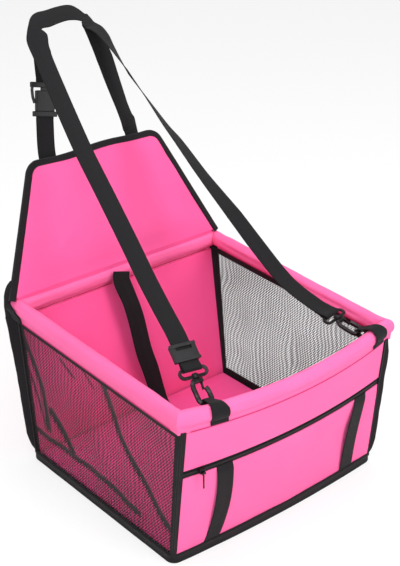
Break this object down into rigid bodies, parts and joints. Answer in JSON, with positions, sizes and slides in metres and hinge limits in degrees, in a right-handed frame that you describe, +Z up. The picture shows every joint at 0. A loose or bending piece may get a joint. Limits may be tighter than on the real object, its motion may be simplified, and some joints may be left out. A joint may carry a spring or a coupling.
{
  "type": "pet carrier",
  "caption": "Folding car booster basket for a small dog: padded rim, net sides, zip pocket, backrest flap, shoulder strap with snap hooks and safety tether.",
  "frame": {"origin": "middle of the base's underside", "axes": "+Z up, the front wall with the zip pocket faces -Y, +X to the right for someone in front of it"},
  "size_m": [0.4056, 0.5488, 0.6426],
  "materials": {
    "pink_fabric": "woven oxford cloth, matt",
    "rim_fabric": "woven oxford cloth over a tube, matt",
    "mat_fabric": "woven cloth over padding, matt",
    "black_tape": "woven binding tape, matt",
    "net": "knotted polyester net",
    "webbing": "ribbed nylon webbing",
    "black_plastic": "moulded, satin",
    "black_metal": "black plated zinc, glossy",
    "tube_plastic": "extruded, plain",
    "board": "sheet, matt"
  },
  "bodies": {
    "base": {"base_fabric": "black_tape", "base_board": "board", "floor_mat": "mat_fabric", "base_binding": "black_tape", "front_lining": "pink_fabric", "front_upper_panel": "pink_fabric", "front_pocket_panel": "pink_fabric", "back_panel": "pink_fabric", "left_net": "net", "right_net": "net", "corner_binding_front_right": "black_tape", "corner_binding_back_right": "black_tape", "corner_binding_back_left": "black_tape", "corner_binding_front_left": "black_tape", "belt_strip_left": "webbing", "belt_strip_right": "webbing", "tether_strap": "webbing", "tether_eye": "black_metal", "tether_strap_end": "webbing"},
    "rim": {"rim_tube_front": "tube_plastic", "rim_tube_right": "tube_plastic", "rim_tube_back": "tube_plastic", "rim_tube_left": "tube_plastic", "rim_elbow_front_right": "tube_plastic", "rim_elbow_back_right": "tube_plastic", "rim_elbow_back_left": "tube_plastic", "rim_elbow_front_left": "tube_plastic", "rim_sleeve_front": "rim_fabric", "rim_sleeve_right": "rim_fabric", "rim_sleeve_back": "rim_fabric", "rim_sleeve_left": "rim_fabric", "left_net_tape": "black_tape", "right_net_tape": "black_tape", "corner_cap": "black_tape", "hook_tab_left": "webbing", "hook_tab_right": "webbing", "left_hook": "black_metal", "right_hook": "black_metal", "long_strap": "webbing"},
    "zip_line": {"zip_tape": "black_tape", "zip_chain": "black_plastic"},
    "zip_slider": {"zip_slider": "black_metal"},
    "zip_pull": {"zip_pull": "black_metal"},
    "back_flap": {"flap_front": "pink_fabric", "flap_board": "board", "flap_back": "pink_fabric", "flap_binding": "black_tape", "headrest_strap_lower": "webbing", "headrest_strap": "webbing", "buckle_socket": "black_plastic"},
    "buckle_plug": {"buckle_plug": "black_plastic"},
    "strap_end_left": {"left_eye": "black_metal", "left_strap_end": "webbing"},
    "strap_end_right": {"right_eye": "black_metal", "right_strap_end": "webbing"},
    "strap_adjuster": {"strap_adjuster": "black_plastic"},
    "left_gate": {"left_gate": "black_metal"},
    "right_gate": {"right_gate": "black_metal"},
    "tether_hook": {"tether_hook": "black_metal"},
    "tether_gate": {"tether_gate": "black_metal"}
  },
  "joints": [
    {"name": "basket_collapse", "type": "slide", "parent": "base", "child": "rim", "axis": [0, 0, -1], "range_m": [0, 0.175], "deforming": ["front_lining", "front_upper_panel", "front_pocket_panel", "back_panel", "left_net", "right_net", "corner_binding_front_right", "corner_binding_back_right", "corner_binding_back_left", "corner_binding_front_left", "belt_strip_left", "belt_strip_right", "tether_strap"]},
    {"name": "zip_line_drop", "type": "slide", "parent": "base", "child": "zip_line", "axis": [0, 0, -1], "range_m": [0, 0.12047]},
    {"name": "zip_slide", "type": "hinge", "parent": "zip_line", "child": "zip_slider", "pos_m": [0, 0.85489, 0.15154], "axis": [0, 0, 1], "range_deg": [0, 17.2]},
    {"name": "zip_pull_swing", "type": "hinge", "parent": "zip_slider", "child": "zip_pull", "pos_m": [-0.15951, -0.19951, 0.14982], "axis": [-0.9887, 0.1496, 0], "range_deg": [0, 120]},
    {"name": "flap_fold", "type": "hinge", "parent": "rim", "child": "back_flap", "pos_m": [0, 0.191, 0.2713], "axis": [1, 0, 0], "range_deg": [0, 104], "deforming": ["long_strap"]},
    {"name": "buckle_release", "type": "slide", "parent": "back_flap", "child": "buckle_plug", "axis": [0.2346, 0.2541, 0.9383], "range_m": [0, 0.028], "deforming": ["headrest_strap"]},
    {"name": "left_swivel", "type": "hinge", "parent": "rim", "child": "strap_end_left", "pos_m": [-0.135, -0.178, 0.24], "axis": [0.1337, 0.7757, 0.6168], "continuous": true, "deforming": ["long_strap"]},
    {"name": "right_swivel", "type": "hinge", "parent": "rim", "child": "strap_end_right", "pos_m": [0.153, -0.174, 0.24], "axis": [-0.1802, 0.9512, 0.2503], "continuous": true, "deforming": ["long_strap"]},
    {"name": "adjuster_slide", "type": "slide", "parent": "strap_end_left", "child": "strap_adjuster", "axis": [0.1337, 0.7757, 0.6168], "range_m": [0, 0.2], "deforming": ["long_strap"]},
    {"name": "left_gate_open", "type": "hinge", "parent": "rim", "child": "left_gate", "pos_m": [-0.12604, -0.15644, 0.25715], "axis": [0, 0.6224, -0.7827], "range_deg": [0, 30], "stiffness_Nm_per_rad": 0.004, "springref_deg": -17.19},
    {"name": "right_gate_open", "type": "hinge", "parent": "rim", "child": "right_gate", "pos_m": [0.15298, -0.14598, 0.24737], "axis": [0, 0.2545, -0.9671], "range_deg": [0, 30], "stiffness_Nm_per_rad": 0.004, "springref_deg": -17.19},
    {"name": "tether_swivel", "type": "hinge", "parent": "base", "child": "tether_hook", "pos_m": [0.055, -0.032, 0.0247], "axis": [0, 1, 0], "continuous": true},
    {"name": "tether_gate_open", "type": "hinge", "parent": "tether_hook", "child": "tether_gate", "pos_m": [0.055, -0.01148, 0.02844], "axis": [1, 0, 0], "range_deg": [0, 30], "stiffness_Nm_per_rad": 0.004, "springref_deg": -17.19}
  ],
  "couplings": [
    {"joint": "zip_line_drop", "follows": "basket_collapse", "ratio": 0.6884}
  ]
}
